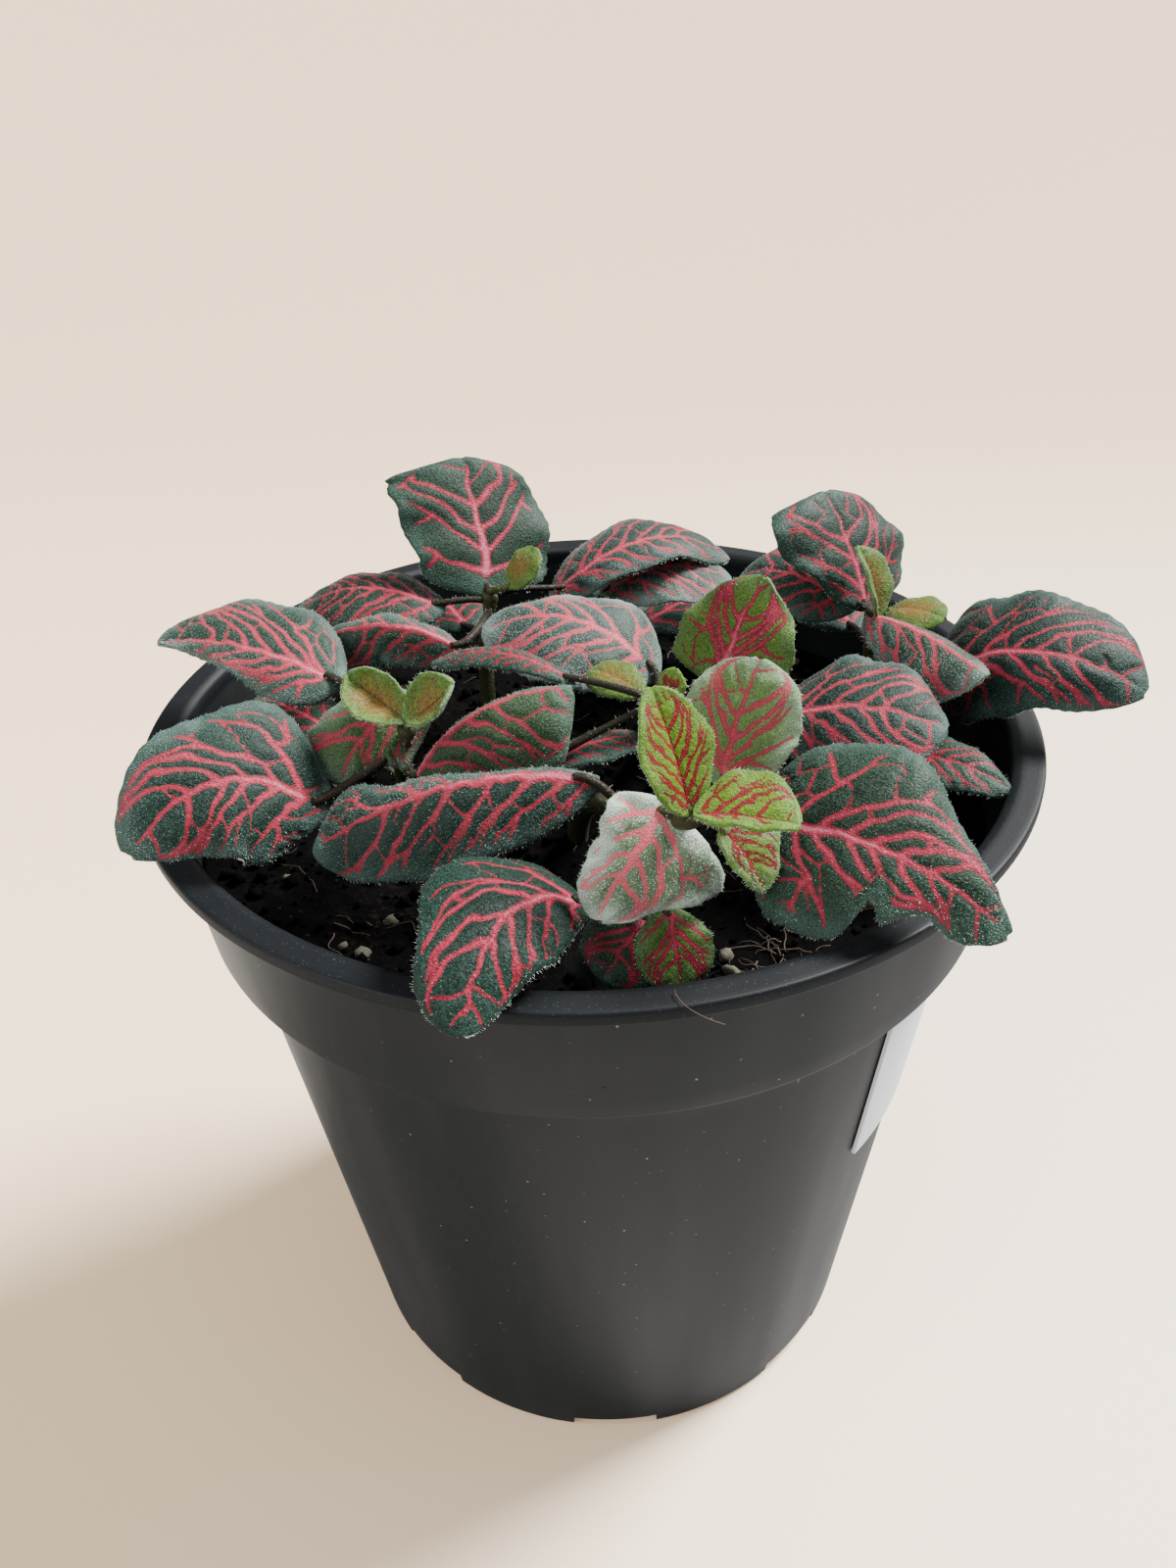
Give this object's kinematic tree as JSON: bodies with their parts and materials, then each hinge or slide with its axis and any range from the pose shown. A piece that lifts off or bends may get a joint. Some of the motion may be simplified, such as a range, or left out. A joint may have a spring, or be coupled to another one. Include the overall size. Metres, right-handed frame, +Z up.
{
  "type": "potted nerve plant",
  "caption": "Low creeping house plant with pink-red veined dark green leaves, standing in peat soil in a tapered black plastic grower's pot.",
  "frame": {"origin": "centre of the pot's flat underside, on the pot's axis", "axes": "+Z up along the pot's axis; -Y is the plant's front, from which most leaves are seen; +X is to the right seen from the front"},
  "size_m": [0.1304, 0.124, 0.1333],
  "materials": {
    "pot_plastic": "satin black injection-moulded plastic with dust specks and scuffs",
    "soil": "damp dark peat with a few pale perlite grains and fine roots",
    "leaf": "softly hairy dark green leaf with branching pink-red veins, brighter green where young",
    "label_paper": "blank matt white paper"
  },
  "bodies": {
    "root": {"pot": "pot_plastic", "soil": "soil", "label": "label_paper", "shoot_front": "leaf", "shoot_low": "leaf", "shoot_centre": "leaf", "shoot_left": "leaf", "shoot_back_left": "leaf", "shoot_back": "leaf", "shoot_right": "leaf", "shoot_back_right": "leaf"}
  },
  "joints": []
}
